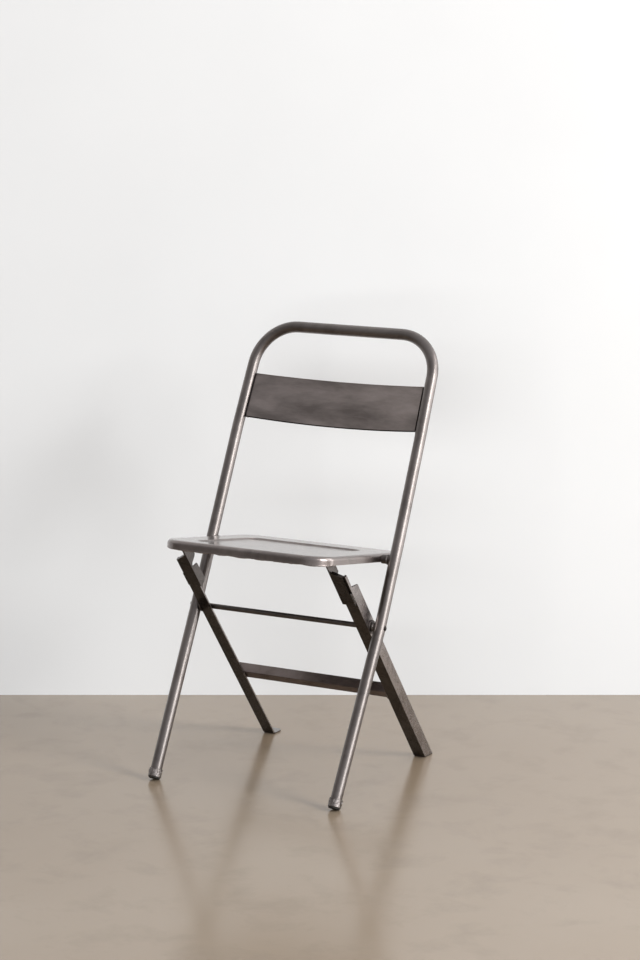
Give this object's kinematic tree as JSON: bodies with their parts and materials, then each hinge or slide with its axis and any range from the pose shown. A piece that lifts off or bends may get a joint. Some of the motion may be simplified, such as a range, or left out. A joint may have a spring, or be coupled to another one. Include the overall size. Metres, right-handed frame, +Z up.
{
  "type": "folding chair",
  "caption": "Steel folding chair: bent tube frame with curved back panel, pressed seat pan and angle-iron rear legs that fold flat together.",
  "frame": {"origin": "on the floor at the middle of the chair's footprint, standing open", "axes": "+X to the right seen from the front, +Y backward, +Z up; the sitter faces -Y"},
  "size_m": [0.4262, 0.4356, 0.8411],
  "materials": {
    "polished_steel": "burnished raw steel tube under clear lacquer, grey with a faint brown cast",
    "sheet_steel": "burnished sheet steel, satin and mottled",
    "seat_steel": "pressed sheet steel, satin, worn brighter on the edges",
    "angle_steel": "hot-rolled angle iron, dark, lightly burnished",
    "rod_steel": "dark drawn rod",
    "ferrule_steel": "pressed steel sleeve, scuffed",
    "black_rubber": "matt black rubber"
  },
  "bodies": {
    "frame": {"tube_frame": "polished_steel", "backrest_panel": "sheet_steel", "front_ferrule_left": "ferrule_steel", "front_ferrule_right": "ferrule_steel", "front_foot_pad_left": "black_rubber", "front_foot_pad_right": "black_rubber", "leg_pivot_rod": "rod_steel", "leg_pivot_washer_left": "rod_steel", "leg_pivot_washer_right": "rod_steel", "seat_pivot_rod": "rod_steel", "seat_spacer_left": "rod_steel", "seat_spacer_right": "rod_steel"},
    "rear_legs": {"rear_leg_left": "angle_steel", "rear_leg_right": "angle_steel", "rear_foot_left": "angle_steel", "rear_foot_right": "angle_steel", "rear_crossbar": "angle_steel", "leg_bracket_left": "angle_steel", "leg_bracket_right": "angle_steel"},
    "seat": {"seat_pan": "seat_steel", "seat_pivot_plate_left": "angle_steel", "seat_pivot_plate_right": "angle_steel", "seat_stop_left": "angle_steel", "seat_stop_right": "angle_steel"}
  },
  "joints": [
    {"name": "rear_leg_fold", "type": "hinge", "parent": "frame", "child": "rear_legs", "pos_m": [0, -0.04333, 0.3116], "axis": [-1, 0, 0], "range_deg": [0, 60.5]},
    {"name": "seat_fold", "type": "hinge", "parent": "frame", "child": "seat", "pos_m": [0, 0.0138, 0.43004], "axis": [-1, 0, 0], "range_deg": [0, 106.8]}
  ],
  "couplings": [
    {"joint": "seat_fold", "follows": "rear_leg_fold", "ratio": 1.765}
  ]
}
